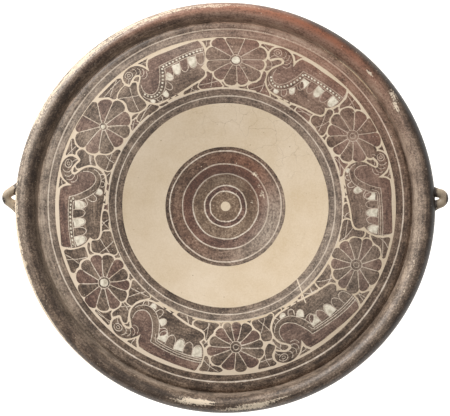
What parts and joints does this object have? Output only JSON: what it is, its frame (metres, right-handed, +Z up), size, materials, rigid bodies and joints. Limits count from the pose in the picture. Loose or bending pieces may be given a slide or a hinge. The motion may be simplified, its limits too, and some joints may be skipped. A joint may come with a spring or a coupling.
{
  "type": "pottery plate",
  "caption": "Broad flat painted pottery plate: shallow bowl rising to a low ridge, thick rolled lip, low ring foot and a small loop handle on each side.",
  "frame": {"origin": "on the turning axis at the level of the foot's underside, which is the middle of the part's bottom", "axes": "+Z up through the dish, X along the line of the two handles, +Y across them towards the top of the painted picture"},
  "size_m": [0.3116, 0.2866, 0.0243],
  "materials": {
    "fired_clay": "matt buff fired clay painted with dark and purple-red slip, worn"
  },
  "bodies": {
    "root": {"plate": "fired_clay"}
  },
  "joints": []
}
